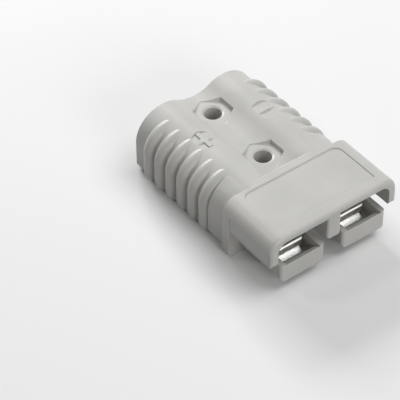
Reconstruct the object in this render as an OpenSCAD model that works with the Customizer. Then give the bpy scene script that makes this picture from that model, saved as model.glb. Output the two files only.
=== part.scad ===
// Two-pole genderless power connector: a one-piece moulded housing, two crimp
// contacts and the two leaf springs that press them up.
// X runs across the two poles, Y from the mating face to the cable end, and Z up.
// The origin is on the bottom face, midway between the two mounting holes.

/* [Housing] */
// Overall length, mating face to cable end
body_l = 78.5; // [77:0.5:84]
// Width of the hood
body_w = 55; // [54.6:0.1:57]
// Height of the hood
body_h = 24.3; // [24:0.1:26]
// Distance between the two poles
pole_pitch = 26.7; // [26.4:0.1:27]
// Radius of the hood's top corners
hood_r = 5.9; // [4.5:0.1:7]
// Rounding of the hood's front edge
rim_r = 1.6; // [0.8:0.1:2.2]

/* [Mating end] */
// How far one connector enters the other
mate_l = 22.8; // [22:0.1:26]
// Side wall of the hood
hood_wall = 3.4; // [3:0.1:3.8]
// Top wall of the hood
hood_top = 2.7; // [2.2:0.1:3.2]
// Wall between the two hood cavities
divider_w = 5.7; // [5:0.1:6.2]
// Rounding of the cavities' outer top corners
cavity_r = 3.6; // [2:0.1:4.5]
// Width of a tongue
tongue_w = 18.8; // [18:0.1:19.4]
// Wall of a tongue
tongue_wall = 2.1; // [1.6:0.1:2.4]
// Floor of a tongue
tongue_floor = 2; // [1.4:0.1:2.4]
// Rounding of a tongue's lower edges
tongue_r = 2.2; // [1:0.1:3]
// Rounding of a tongue's front corners
tongue_corner_r = 1.2; // [0.6:0.1:1.5]
// Depth of the tongue's front lip below its side walls
lip_drop = 1.4; // [0.6:0.1:1.8]
// Running clearance between two mated connectors
mate_gap = 0.75; // [0.4:0.05:1]
// Depth of the long recess in each side of the hood
side_depth = 0.5; // [0.3:0.05:0.7]

/* [Cable end] */
// Outer radius of a barrel
barrel_r = 12; // [11.6:0.05:12.4]
// Bore for the insulated cable
cable_bore_d = 17.6; // [16:0.1:17.8]
// Depth of the valley between the barrels
valley_depth = 3.6; // [3:0.1:3.8]

/* [Grip ribs] */
// Ribs on each side
rib_count = 6; // [3:1:6]
// Spacing of the ribs
rib_pitch = 6.33; // [6:0.01:6.5]
// Height of a rib on the side wall
rib_h = 2; // [1.4:0.1:2.4]
// Radius of a rib's rounded crest
rib_crest_r = 2.9; // [2.6:0.05:3]

/* [Mounting] */
// Diameter of the mounting holes
hole_d = 6.5; // [5.5:0.1:6.6]
// Distance between the mounting holes
hole_spacing = 28.3; // [27:0.1:29]
// Mating face to the first mounting hole
hole_first = 38.8; // [38:0.1:40]
// Across flats of the hexagon recess
hex_af = 12.7; // [11:0.1:13]
// Depth of the hexagon recess below the hood's top
hex_depth = 3.75; // [3.75:0.05:5]

/* [Contacts] */
// Length of a contact
contact_l = 56; // [54:0.5:58]
// Outer diameter of a contact's barrel
contact_d = 10.8; // [10:0.1:11.2]
// Outer diameter of the flared mouth
mouth_d = 12.2; // [11.6:0.1:13]
// Bore for the stripped wire
wire_bore_d = 8.4; // [7:0.1:8.6]
// Depth of the wire bore
wire_bore_l = 25; // [20:0.5:27]
// Width of the blade
blade_w = 11.4; // [10:0.1:12.6]
// Thickness of the blade
blade_t = 2.8; // [2.2:0.1:3]
// Length of the blade, tip to barrel
blade_l = 24; // [22:0.5:25]
// Mating face to the tip of the blade
tip_setback = 7; // [6:0.1:8]

/* [Springs] */
// Width of a spring
spring_w = 9; // [7:0.1:10]
// Thickness of a spring
spring_t = 0.7; // [0.5:0.05:0.9]
// Length of the spring's arch
spring_arch_l = 20; // [18:0.5:23]
// Length of the spring's flat foot
spring_foot_l = 6; // [4:0.5:7]

/* [Markings] */
// Depth of the blank label panel on the hood
panel_depth = 0.3; // [0.2:0.05:0.6]
// Depth of the polarity marks
mark_depth = 0.5; // [0.3:0.05:0.7]
// Radius of the round field of a polarity mark
mark_r = 4.5; // [3.5:0.1:5]

/* [Hidden] */
$fn = 64;

over = 1;
sliver = 0.01;
pole = pole_pitch / 2;
half_w = body_w / 2;
mid_z = body_h / 2;
origin_y = hole_first + hole_spacing / 2;
hole_ys = [hole_first, hole_first + hole_spacing];

// Mating end
shoulder_t = 3.2;
shoulder_y = mate_l + shoulder_t;
shoulder_r = 2.6;
cavity_top = body_h - hood_top;
leg_r = 0.75;
jaw_r = rim_r + 0.3;
divider_r = 0.9;
side_x = half_w - side_depth;
side_top = body_h - 5.1;
side_front = rim_r / 2;
side_r = 1.2;
tongue_z = hood_top + mate_gap;
tongue_drop = 0.15;
tongue_top = mid_z - tongue_drop;
lip_top = tongue_top - lip_drop;
tray_floor = tongue_z + tongue_floor;
tray_slope = 0.8;
tray_land = 0.3;

// Cable end
crest_drop = 0.05;
barrel_z = body_h - crest_drop - barrel_r;
foot_r = 3;
valley_z = body_h - valley_depth;
valley_rise = valley_z - barrel_z;
valley_r = (pole * pole + valley_rise * valley_rise - barrel_r * barrel_r) / (2 * (barrel_r - valley_rise));
valley_sink = 0.02;
web_half = pole * valley_r / (barrel_r + valley_r);
ramp_l = 4;
ramp_top_l = 1.4;
entry_chamfer = 1;
hole_rim_w = 0.75;
hole_rim_h = 0.35;

// The ribs and the flat ahead of them follow a tighter circle, set outwards, so
// that they stand proud of the side and run out near the crown.
flank_inset = 0.85;
flank_r = barrel_r - flank_inset;
flank_lift = 0.4;
foot_lift = 0.1;
rib_foot_r = 4.5;
rib_first = 38.6;
rib_base = 2.4;
flat_h = 1.1;
flat_end = rib_first - rib_pitch / 2;

// Passage of a contact
contact_gap = 0.3;
bore_r = mouth_d / 2;
blade_top = mid_z;
blade_bottom = blade_top - blade_t;
dome_y = tip_setback + blade_l + contact_d / 2;
mouth_y = tip_setback + contact_l;
seat_y = dome_y - contact_d / 2 - contact_gap;
cable_bore_y = mouth_y + contact_gap;
slot_w = blade_w + 2 * contact_gap;
slot_end = dome_y + contact_gap;

// Contact
flare_l = 3;
flare_rim = 0.7;
tip_l = 4.6;
tip_step = 1.3;
tip_ramp = 1.2;
tip_chamfer = 0.5;
hook_l = 1.2;
hook_drop = 1.1;
tip_corner_r = 1.1;

// Spring
spring_rise = blade_bottom - tray_floor;
spring_r = (spring_arch_l * spring_arch_l / 4 + spring_rise * spring_rise) / (2 * spring_rise);
spring_foot_end = tip_setback + blade_l - contact_gap;
spring_foot_y = spring_foot_end - spring_foot_l;
spring_lap = 2 * spring_t;
spring_front = spring_foot_y + spring_lap - spring_arch_l;
spring_mid = spring_front + spring_arch_l / 2;
arc_facets = 180;

// Label panel and polarity marks
panel_half = 20.9;
panel_front = 4.6;
panel_margin = 1.5;
panel_back = shoulder_y - panel_margin;
panel_r = 3.4;
mark_y = 54.5;
mark_rim = 0.4;
mark_bar = 2 * (mark_r - mark_rim);
mark_bar_w = 1.7;

// Solid between y0 and y1 with the given X-Z outline.
module along(y0, y1) {
    translate([0, y1, 0]) rotate([90, 0, 0]) linear_extrude(y1 - y0) children();
}

// Solid of width w about X = 0 with the given Y-Z outline.
module across(w) {
    translate([-w / 2, 0, 0]) rotate([90, 0, 90]) linear_extrude(w) children();
}

module both_sides() {
    children();
    mirror([1, 0, 0]) children();
}

module at_poles() {
    for (s = [-1, 1]) translate([s * pole, 0, 0]) children();
}

// Rectangle from (x0, z0) to (x1, z1) with its two lower corners rounded.
module round_bottom(x0, x1, z0, z1, r) {
    translate([x0, z0 + r]) square([x1 - x0, z1 - z0 - r]);
    translate([x0 + r, z0]) square([x1 - x0 - 2 * r, 2 * r]);
    for (x = [x0 + r, x1 - r]) translate([x, z0 + r]) circle(r);
}

// Rectangle of half width hw whose two upper corners are rounded.
module round_top(hw, z0, z1, r) {
    translate([-hw, z0]) square([2 * hw, z1 - z0 - r]);
    translate([-hw + r, z0]) square([2 * (hw - r), z1 - z0]);
    for (x = [-1, 1]) translate([x * (hw - r), z1 - r]) circle(r);
}

// What a rounding of radius r takes off a corner at the origin whose solid lies
// towards +X and +Y.
module corner(r) {
    difference() {
        translate([-over, -over]) square(r + over);
        translate([r, r]) circle(r);
    }
}

// ---- Housing: mating end ----

// Upper half of the hood, uncut, with a rounded front edge.
module hood_block() {
    z0 = mid_z;
    along(rim_r, shoulder_y) round_top(half_w, z0, body_h, hood_r);
    along(0, rim_r + over) round_top(half_w - rim_r, z0, body_h - rim_r, hood_r - rim_r);
    translate([-half_w + hood_r, rim_r, body_h - rim_r]) rotate([0, 90, 0])
        cylinder(r = rim_r, h = body_w - 2 * hood_r);
    both_sides() {
        translate([half_w - rim_r, rim_r, z0]) cylinder(r = rim_r, h = body_h - hood_r - z0);
        translate([half_w - hood_r, rim_r, body_h - hood_r]) rotate([90, 0, 0])
            rotate_extrude(angle = 90) translate([hood_r - rim_r, 0]) circle(rim_r);
    }
}

// Roundings of the lower ends of the hood's side walls and divider, and of the
// divider's upright front edges.
module leg_rounding() {
    both_sides() {
        along(-over, mate_l) {
            translate([half_w - hood_wall, mid_z]) corner(leg_r);
            for (x = [divider_w / 2, side_x]) translate([x, mid_z]) mirror([1, 0]) corner(leg_r);
        }
        translate([half_w - hood_wall - over, 0, mid_z]) rotate([90, 0, 90])
            linear_extrude(hood_wall + 2 * over) corner(jaw_r);
        translate([divider_w / 2, 0, mid_z - over]) linear_extrude(cavity_top - mid_z + over)
            mirror([1, 0]) corner(divider_r);
    }
}

// Long shallow recess in each side of the hood, open at the bottom.
module side_recess() {
    both_sides() translate([side_x, 0, 0]) rotate([90, 0, 90]) linear_extrude(side_depth + over) difference() {
        translate([side_front, mid_z - over]) square([mate_l - side_front, side_top - mid_z + over]);
        translate([side_front, side_top]) mirror([0, 1]) corner(side_r);
    }
}

module hood() {
    difference() {
        hood_block();
        leg_rounding();
        side_recess();
    }
}

// Full-height plate that the mating connector's hood butts against.
module shoulder() {
    along(mate_l, shoulder_y) round_bottom(-half_w, half_w, 0, mid_z + over, shoulder_r);
}

// Space that takes one tongue of the mating connector.
module hood_cavity() {
    x0 = divider_w / 2;
    x1 = half_w - hood_wall;
    along(-over, mate_l) difference() {
        translate([x0, mid_z - over]) square([x1 - x0, cavity_top - mid_z + over]);
        difference() {
            translate([x1 - cavity_r, cavity_top - cavity_r]) square(cavity_r + over);
            translate([x1 - cavity_r, cavity_top - cavity_r]) circle(cavity_r);
        }
    }
}

// Tray that carries the blade and its spring, with rounded front corners.
module tongue() {
    hw = tongue_w / 2;
    difference() {
        along(0, mate_l) round_bottom(-hw, hw, tongue_z, tongue_top, tongue_r);
        both_sides() translate([-hw, 0, 0]) linear_extrude(body_h) corner(tongue_corner_r);
    }
}

// Inside of the tray, with its rim sloping inwards and the lower front lip.
module tray_hollow() {
    hw = tongue_w / 2 - tongue_wall;
    rim = hw + tongue_wall - tray_land;
    translate([-hw, tongue_wall, tray_floor]) cube([2 * hw, mate_l - tongue_wall, mid_z]);
    along(-over, mate_l) polygon([
        [-rim, tongue_top + over], [-rim, tongue_top], [-hw, tongue_top - tray_slope],
        [hw, tongue_top - tray_slope], [rim, tongue_top], [rim, tongue_top + over]
    ]);
    across(2 * hw) polygon([
        [-over, tongue_top], [-over, lip_top], [tray_land, lip_top],
        [tongue_wall, lip_top - tray_slope], [tongue_wall + over, tongue_top]
    ]);
}

// Shallow blank label field on top of the hood, with rounded rear corners.
module label_panel() {
    corner_x = panel_half - panel_r;
    depth = panel_back - panel_front;
    translate([0, 0, body_h - panel_depth]) linear_extrude(over) {
        translate([-panel_half, panel_front]) square([2 * panel_half, depth - panel_r]);
        translate([-corner_x, panel_front]) square([2 * corner_x, depth]);
        for (s = [-1, 1]) translate([s * corner_x, panel_back - panel_r]) circle(panel_r);
    }
}

// ---- Housing: cable end ----

// Outline of the two barrels, their straight skirts and the valley between them.
module barrel_outline() {
    side = pole + barrel_r;
    for (s = [-1, 1]) translate([s * pole, barrel_z]) circle(barrel_r);
    round_bottom(-side, side, 0, barrel_z, foot_r);
    difference() {
        translate([-web_half, foot_r]) square([2 * web_half, body_h - foot_r]);
        translate([0, valley_z + valley_r - valley_sink]) circle(valley_r);
    }
}

// Outline of one flank that stands out by h from the barrel's side.
module flank_outline(h) {
    x = pole + barrel_r + h - flank_r;
    translate([x, barrel_z + flank_lift]) circle(flank_r);
    round_bottom(x - flank_r / 2, x + flank_r, foot_lift, barrel_z + flank_lift, rib_foot_r);
}

// Cross-section of a rib whose crest is at radius r.
module rib_section(r) {
    intersection() {
        translate([r - rib_crest_r, 0]) circle(rib_crest_r);
        translate([r - rib_base, -rib_crest_r]) square([rib_base, 2 * rib_crest_r]);
    }
}

// A quarter ring with the rib's cross-section, from +X round to +Z.
module rib_arc(r) {
    rotate([90, 0, 0]) rotate_extrude(angle = 90) rib_section(r);
}

// One rib, from the crown round the side to the bottom edge.
module rib() {
    crest = pole + barrel_r + rib_h;
    top_z = barrel_z + flank_lift;
    foot_z = rib_foot_r + foot_lift;
    translate([crest - flank_r, 0, top_z]) rib_arc(flank_r);
    translate([crest - flank_r, 0, foot_z]) linear_extrude(top_z - foot_z) rib_section(flank_r);
    translate([crest - rib_foot_r, 0, foot_z]) mirror([0, 0, 1]) rib_arc(rib_foot_r);
}

// Ramp from the valley up to the top of the hood.
module ramp() {
    across(2 * pole) polygon([
        [shoulder_y - over, mid_z], [shoulder_y - over, body_h - crest_drop],
        [shoulder_y + ramp_top_l, body_h - crest_drop],
        [shoulder_y + ramp_top_l + ramp_l, valley_z - over], [shoulder_y + ramp_top_l + ramp_l, mid_z]
    ]);
}

// Hole and hexagon recess for a mounting bolt, with a shallow cone round the hole.
module bolt_hole() {
    translate([0, 0, -over]) cylinder(d = hole_d, h = body_h + 2 * over);
    translate([0, 0, body_h - hex_depth]) {
        rotate([0, 0, 90]) cylinder(d = hex_af / cos(30), h = hex_depth + over, $fn = 6);
        translate([0, 0, -hole_rim_h])
            cylinder(r1 = hole_d / 2, r2 = hole_d / 2 + 2 * hole_rim_w, h = 2 * hole_rim_h);
    }
}

// Round field on a barrel's crown, with a bar and, on the positive side, a second one.
module polarity_mark(positive) {
    floor_z = body_h - crest_drop - mark_depth;
    bars = positive ? [[mark_bar, mark_bar_w], [mark_bar_w, mark_bar]] : [[mark_bar, mark_bar_w]];
    translate([0, 0, floor_z]) linear_extrude(mark_depth + over) difference() {
        circle(mark_r);
        for (bar = bars) square(bar, center = true);
    }
}

// Room for one contact and its spring, from the tray to the cable end.
module contact_passage() {
    translate([-slot_w / 2, mate_l - over, tray_floor])
        cube([slot_w, slot_end - mate_l + over, blade_top + contact_gap - tray_floor]);
    along(seat_y, cable_bore_y + over) translate([0, barrel_z]) circle(bore_r);
    along(cable_bore_y, body_l + over) translate([0, barrel_z]) circle(d = cable_bore_d);
    translate([0, body_l - entry_chamfer, barrel_z]) rotate([-90, 0, 0])
        cylinder(r1 = cable_bore_d / 2, r2 = cable_bore_d / 2 + 2 * entry_chamfer, h = 2 * entry_chamfer);
}

module housing() {
    color("darkgray") translate([0, -origin_y, 0]) difference() {
        union() {
            hood();
            shoulder();
            at_poles() tongue();
            along(shoulder_y, body_l) barrel_outline();
            both_sides() along(shoulder_y, flat_end) flank_outline(flat_h);
            both_sides() for (i = [0 : rib_count - 1]) translate([0, rib_first + i * rib_pitch, 0]) rib();
            ramp();
        }
        both_sides() hood_cavity();
        at_poles() tray_hollow();
        at_poles() contact_passage();
        for (y = hole_ys) translate([0, y, 0]) bolt_hole();
        translate([-pole, mark_y, 0]) polarity_mark(true);
        translate([pole, mark_y, 0]) polarity_mark(false);
        label_panel();
    }
}

// ---- Contacts and springs ----

// Turned barrel with a domed nose and a flared, bored mouth.
module contact_barrel() {
    r = contact_d / 2;
    l = mouth_y - dome_y;
    translate([0, dome_y, barrel_z]) rotate([-90, 0, 0]) difference() {
        union() {
            sphere(r);
            cylinder(r = r, h = l - flare_l);
            translate([0, 0, l - flare_l]) cylinder(r1 = r, r2 = mouth_d / 2, h = flare_l - flare_rim);
            translate([0, 0, l - flare_rim]) cylinder(d = mouth_d, h = flare_rim);
        }
        translate([0, 0, l - wire_bore_l]) cylinder(d = wire_bore_d, h = wire_bore_l + over);
        translate([0, 0, l - flare_l])
            cylinder(r1 = wire_bore_d / 2, r2 = (mouth_d - flare_rim) / 2, h = flare_l + sliver);
    }
}

// Flat blade with its stepped and hooked tip, in side view.
module blade_profile() {
    y0 = tip_setback;
    polygon([
        [dome_y, blade_bottom], [dome_y, blade_top],
        [y0 + tip_l + tip_ramp, blade_top], [y0 + tip_l, blade_top - tip_step],
        [y0 + tip_chamfer, blade_top - tip_step], [y0, blade_top - tip_step - tip_chamfer],
        [y0, blade_bottom - hook_drop], [y0 + hook_l, blade_bottom - hook_drop],
        [y0 + hook_l + hook_drop, blade_bottom]
    ]);
}

module contact() {
    contact_barrel();
    difference() {
        across(blade_w) blade_profile();
        both_sides() translate([-blade_w / 2, tip_setback, 0]) linear_extrude(body_h) corner(tip_corner_r);
    }
}

// Arched leaf with a flat foot that lies in the housing below the blade.
module spring() {
    across(spring_w) {
        intersection() {
            translate([spring_mid, blade_bottom - spring_r]) difference() {
                circle(spring_r, $fn = arc_facets);
                circle(spring_r - spring_t, $fn = arc_facets);
            }
            translate([spring_front - over, tray_floor]) square([spring_arch_l + 2 * over, spring_rise + over]);
        }
        translate([spring_foot_y, tray_floor]) square([spring_foot_l, spring_t]);
    }
}

module contact_positive() {
    color("gainsboro") translate([-pole, -origin_y, 0]) contact();
}

module contact_negative() {
    color("gainsboro") translate([pole, -origin_y, 0]) contact();
}

module spring_positive() {
    color("silver") translate([-pole, -origin_y, 0]) spring();
}

module spring_negative() {
    color("silver") translate([pole, -origin_y, 0]) spring();
}

housing();
contact_positive();
contact_negative();
spring_positive();
spring_negative();
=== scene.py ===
"""Looks of a two-pole genderless power connector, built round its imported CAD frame."""
import math

import bpy
from mathutils import Matrix, Vector


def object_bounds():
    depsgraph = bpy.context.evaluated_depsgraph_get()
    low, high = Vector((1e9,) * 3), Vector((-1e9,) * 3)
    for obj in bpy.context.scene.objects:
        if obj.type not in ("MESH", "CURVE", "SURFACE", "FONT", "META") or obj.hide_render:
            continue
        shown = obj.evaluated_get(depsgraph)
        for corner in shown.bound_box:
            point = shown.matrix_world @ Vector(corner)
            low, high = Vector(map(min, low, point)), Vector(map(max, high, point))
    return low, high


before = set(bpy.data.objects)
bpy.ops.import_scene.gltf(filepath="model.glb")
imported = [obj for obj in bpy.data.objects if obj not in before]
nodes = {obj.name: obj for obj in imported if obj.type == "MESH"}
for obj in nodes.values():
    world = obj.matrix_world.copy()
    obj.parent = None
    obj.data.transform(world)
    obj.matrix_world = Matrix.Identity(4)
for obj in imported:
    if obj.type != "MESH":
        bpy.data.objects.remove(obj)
cad_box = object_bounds()

MM = 0.001

# ---- Dimensions taken from the frame ----

low, high = cad_box
middle = (low + high) / 2
front_y = low.y

# ---- Node helpers ----

WHITE = (1, 1, 1, 1)

# The stretch of a noise that its look is spread over: a strong contrast, and a softer one
NOISE_CORE = (0.35, 0.65)
NOISE_BODY = (0.3, 0.7)


def grey(value):
    return (value, value, value, 1)


def new_material(name):
    """An empty node material and its Principled shader."""
    mat = bpy.data.materials.new(name)
    mat.use_nodes = True
    tree = mat.node_tree
    tree.nodes.clear()
    out = tree.nodes.new("ShaderNodeOutputMaterial")
    shader = tree.nodes.new("ShaderNodeBsdfPrincipled")
    tree.links.new(shader.outputs["BSDF"], out.inputs["Surface"])
    return mat, tree, shader


def feed(tree, socket, value):
    """Give a socket its value, or link it to another node's socket."""
    if isinstance(value, bpy.types.NodeSocket):
        tree.links.new(value, socket)
    else:
        socket.default_value = value


def add(tree, kind, inputs=None, **settings):
    """A node with its settings and inputs."""
    node = tree.nodes.new(kind)
    for key, value in settings.items():
        setattr(node, key, value)
    for key, value in (inputs or {}).items():
        feed(tree, node.inputs[key], value)
    return node


def object_coordinates(tree, scale=(1, 1, 1)):
    """Object coordinates, stretched by scale, for a pattern that stays on the piece."""
    coords = add(tree, "ShaderNodeTexCoord")
    mapping = add(tree, "ShaderNodeMapping", {"Vector": coords.outputs["Object"], "Scale": scale})
    return mapping.outputs["Vector"]


def noise(tree, vector, scale, detail):
    """A noise value from 0 to 1, with about scale features to each unit of its coordinates."""
    return add(tree, "ShaderNodeTexNoise", {
        "Vector": vector, "Scale": scale, "Detail": detail, "Roughness": 0.5,
    }).outputs["Fac"]


def remap(tree, value, to, within=(0, 1)):
    """value moved from the range within to the range to, and held inside it."""
    return add(tree, "ShaderNodeMapRange", {
        "Value": value, "From Min": within[0], "From Max": within[1], "To Min": to[0], "To Max": to[1],
    }).outputs["Result"]


def blend_colour(tree, factor, a, b):
    """Colour a where factor is 0, and colour b where it is 1."""
    mix = add(tree, "ShaderNodeMix", data_type="RGBA")
    factor_socket, a_socket, b_socket = mix.inputs[0], mix.inputs[6], mix.inputs[7]
    for socket, value in ((factor_socket, factor), (a_socket, a), (b_socket, b)):
        feed(tree, socket, value)
    return mix.outputs[2]


def math_node(tree, operation, a, b):
    return add(tree, "ShaderNodeMath", {0: a, 1: b}, operation=operation).outputs[0]


def edge_mask(tree, radius):
    """1 along sharp edges, 0 on open faces: how far the rounded normal turns from the true one."""
    at_edge, on_face = 0.75, 0.995
    rounded = add(tree, "ShaderNodeBevel", {"Radius": radius}, samples=4)
    geometry = add(tree, "ShaderNodeNewGeometry")
    dot = add(tree, "ShaderNodeVectorMath", {
        0: rounded.outputs["Normal"], 1: geometry.outputs["Normal"],
    }, operation="DOT_PRODUCT").outputs["Value"]
    return remap(tree, dot, (1, 0), (at_edge, on_face))


# ---- Materials ----


def moulded_plastic():
    """Light grey nylon-like moulding: satin gloss, fine mould grain, and sharp edges painted paler as a
    highlight.
    """
    dark, pale = (0.545, 0.540, 0.512, 1), (0.590, 0.583, 0.556, 1)
    # fleck is mould grain; the second colour is a painted highlight laid along the sharp edges
    fleck, painted_edge_highlight = (0.66, 0.65, 0.62, 1), (0.70, 0.69, 0.66, 1)
    mat, tree, shader = new_material("moulded_plastic")
    vector = object_coordinates(tree)
    cloud = noise(tree, vector, scale=55, detail=3)
    speck = noise(tree, vector, scale=2600, detail=1)
    edges = edge_mask(tree, 0.5 * MM)
    colour = blend_colour(tree, remap(tree, cloud, (0, 1), NOISE_CORE), dark, pale)
    colour = blend_colour(tree, remap(tree, speck, (0, 0.12), (0.5, 0.8)), colour, fleck)
    # Sharp edges painted paler: a painted highlight along them
    colour = blend_colour(tree, remap(tree, edges, (0, 0.35)), colour, painted_edge_highlight)
    tree.links.new(colour, shader.inputs["Base Color"])
    rough = math_node(tree, "ADD", remap(tree, cloud, (0.30, 0.40), NOISE_BODY),
                      remap(tree, speck, (-0.03, 0.03), NOISE_BODY))
    tree.links.new(rough, shader.inputs["Roughness"])
    shader.inputs["IOR"].default_value = 1.5
    rounded = add(tree, "ShaderNodeBevel", {"Radius": 0.35 * MM}, samples=6)
    grain = add(tree, "ShaderNodeBump", {
        "Height": speck, "Strength": 0.10, "Distance": 0.02 * MM, "Normal": rounded.outputs["Normal"],
    })
    sink = add(tree, "ShaderNodeBump", {
        "Height": cloud, "Strength": 0.15, "Distance": 0.4 * MM, "Normal": grain.outputs["Normal"],
    })
    tree.links.new(sink.outputs["Normal"], shader.inputs["Normal"])
    return mat


def silver_plate():
    """Silver-plated copper: pale, slightly warm, with faint turning marks and matte mottling."""
    dull, bright = (0.80, 0.79, 0.74, 1), (0.93, 0.92, 0.88, 1)
    # Paler colour painted along the sharp edges as a highlight
    painted_edge_highlight = (0.97, 0.96, 0.93, 1)
    mat, tree, shader = new_material("silver_plate")
    vector = object_coordinates(tree)
    turned = object_coordinates(tree, (60, 5200, 60))
    cloud = noise(tree, vector, scale=260, detail=4)
    lines = noise(tree, turned, scale=1.0, detail=2)
    edges = edge_mask(tree, 0.25 * MM)
    colour = blend_colour(tree, remap(tree, cloud, (0, 1), NOISE_CORE), dull, bright)
    # Sharp edges painted paler: a painted highlight along them
    colour = blend_colour(tree, remap(tree, edges, (0, 0.5)), colour, painted_edge_highlight)
    tree.links.new(colour, shader.inputs["Base Color"])
    shader.inputs["Metallic"].default_value = 1.0
    rough = math_node(tree, "ADD", remap(tree, cloud, (0.26, 0.42), NOISE_CORE),
                      remap(tree, lines, (-0.05, 0.05), NOISE_BODY))
    tree.links.new(rough, shader.inputs["Roughness"])
    rounded = add(tree, "ShaderNodeBevel", {"Radius": 0.2 * MM}, samples=4)
    marks = add(tree, "ShaderNodeBump", {
        "Height": lines, "Strength": 0.2, "Distance": 0.02 * MM, "Normal": rounded.outputs["Normal"],
    })
    tree.links.new(marks.outputs["Normal"], shader.inputs["Normal"])
    return mat


def spring_steel():
    """Rolled stainless strip with fine lengthwise rolling lines."""
    dull, bright = (0.50, 0.50, 0.49, 1), (0.62, 0.62, 0.61, 1)
    mat, tree, shader = new_material("spring_steel")
    rolled = object_coordinates(tree, (4200, 90, 4200))
    lines = noise(tree, rolled, scale=1.0, detail=2)
    cloud = noise(tree, object_coordinates(tree), scale=180, detail=3)
    colour = blend_colour(tree, remap(tree, cloud, (0, 1), NOISE_CORE), dull, bright)
    tree.links.new(colour, shader.inputs["Base Color"])
    shader.inputs["Metallic"].default_value = 1.0
    tree.links.new(remap(tree, lines, (0.22, 0.38), NOISE_BODY), shader.inputs["Roughness"])
    marks = add(tree, "ShaderNodeBump", {"Height": lines, "Strength": 0.2, "Distance": 0.01 * MM})
    tree.links.new(marks.outputs["Normal"], shader.inputs["Normal"])
    return mat


def give(material, *names):
    """Make this the only material of the named nodes."""
    for name in names:
        slots = nodes[name].data.materials
        slots.clear()
        slots.append(material)


give(moulded_plastic(), "housing")
give(silver_plate(), "contact_positive", "contact_negative")
give(spring_steel(), "spring_positive", "spring_negative")

# ---- Staging helpers ----


def put(name, data):
    """An object with this data, in the scene."""
    item = bpy.data.objects.new(name, data)
    bpy.context.scene.collection.objects.link(item)
    return item


def look_axes(azimuth, elevation):
    """Right, up and back of a camera; azimuth 0 looks along +Y."""
    a, e = math.radians(azimuth), math.radians(elevation)
    back = Vector((math.sin(a) * math.cos(e), -math.cos(a) * math.cos(e), math.sin(e)))
    right = Vector((math.cos(a), math.sin(a), 0))
    return right, back.cross(right), back


def stand(item, place, right, up, back):
    """Place a camera or lamp, and turn it to these axes."""
    item.matrix_world = Matrix.LocRotScale(place, Matrix((right, up, back)).transposed(), None)


# ---- Camera ----

# Degrees, metres and millimetres of lens, found by fitting the housing's outline to the photo
CAM_AZIMUTH = -36.94
CAM_ELEVATION = 43.53
CAM_ROLL = -0.39
CAM_DISTANCE = 735.6 * MM
CAM_LENS = 191.6
CAM_SENSOR = 36
CAM_NEAREST = 0.01
CAM_FARTHEST = 20
CAM_BEHIND_FACE = 35 * MM
CAM_AIM_HEIGHT = 13 * MM
CAM_ASIDE = -24.0 * MM
CAM_RAISED = -7.48 * MM


def make_camera():
    right, up, back = look_axes(CAM_AZIMUTH, CAM_ELEVATION)
    aim = Vector((middle.x, front_y + CAM_BEHIND_FACE, low.z + CAM_AIM_HEIGHT))
    place = aim + right * CAM_ASIDE + up * CAM_RAISED + back * CAM_DISTANCE
    roll = math.radians(CAM_ROLL)
    rolled_right = right * math.cos(roll) + up * math.sin(roll)
    rolled_up = up * math.cos(roll) - right * math.sin(roll)
    data = bpy.data.cameras.new("camera")
    data.lens = CAM_LENS
    data.sensor_width = CAM_SENSOR
    data.clip_start, data.clip_end = CAM_NEAREST, CAM_FARTHEST
    camera = put("camera", data)
    stand(camera, place, rolled_right, rolled_up, back)
    bpy.context.scene.camera = camera


# ---- Floor and world ----

FLOOR_SIZE = 6.0
FLOOR_SEEN = 0.93
FLOOR_BOUNCE = 0.38
AMBIENT = 0.12


def seen_rays(tree):
    """1 for what is seen directly, in a reflection or through glass, 0 for light that bounces on."""
    path = add(tree, "ShaderNodeLightPath")
    seen = math_node(tree, "MAXIMUM", path.outputs["Is Camera Ray"], path.outputs["Is Glossy Ray"])
    return math_node(tree, "MAXIMUM", seen, path.outputs["Is Transmission Ray"])


def make_floor():
    """A pale floor that keeps the shadow, and throws less light up than its colour would."""
    mesh = bpy.data.meshes.new("floor")
    half = FLOOR_SIZE / 2
    corners = [(x * half, y * half, low.z) for x, y in ((-1, -1), (1, -1), (1, 1), (-1, 1))]
    mesh.from_pydata(corners, [], [(0, 1, 2, 3)])
    floor = put("floor", mesh)
    mat, tree, shader = new_material("floor")
    colour = blend_colour(tree, seen_rays(tree), grey(FLOOR_BOUNCE), grey(FLOOR_SEEN))
    tree.links.new(colour, shader.inputs["Base Color"])
    shader.inputs["Roughness"].default_value = 0.9
    mesh.materials.append(mat)


def make_world():
    """White surroundings where they are seen, which give only a little light themselves."""
    world = bpy.data.worlds.new("studio")
    world.use_nodes = True
    tree = world.node_tree
    tree.nodes.clear()
    out = tree.nodes.new("ShaderNodeOutputWorld")
    light = add(tree, "ShaderNodeBackground", {"Color": WHITE, "Strength": AMBIENT})
    seen = add(tree, "ShaderNodeBackground", {"Color": WHITE, "Strength": 1.0})
    mix = add(tree, "ShaderNodeMixShader", {0: seen_rays(tree), 1: light.outputs[0], 2: seen.outputs[0]})
    tree.links.new(mix.outputs[0], out.inputs["Surface"])
    bpy.context.scene.world = world


# ---- Lamps ----

LAMP_DISTANCE = 0.9

# Softboxes: name, azimuth and elevation in degrees, width and height in metres, power in watts
SOFTBOXES = (
    ("upper_right", 60, 62, 0.6, 0.6, 3.5),
    ("rear", 172, 27, 0.45, 0.3, 4.8),
    ("rear_right", 154, 32, 0.12, 0.12, 0.9),
    ("rear_left", -132, 46, 0.10, 0.10, 0.5),
    ("front", -5, 22, 0.5, 0.4, 2.6),
)


def make_lamp(name, azimuth, elevation, width, height, power):
    """A softbox aimed at the object's middle."""
    right, up, back = look_axes(azimuth, elevation)
    data = bpy.data.lights.new(name, "AREA")
    data.shape = "RECTANGLE"
    data.size, data.size_y = width, height
    data.energy = power
    stand(put(name, data), middle + back * LAMP_DISTANCE, right, up, back)


make_camera()
make_floor()
make_world()
for softbox in SOFTBOXES:
    make_lamp(*softbox)

scene = bpy.context.scene
scene.view_settings.view_transform = "Standard"
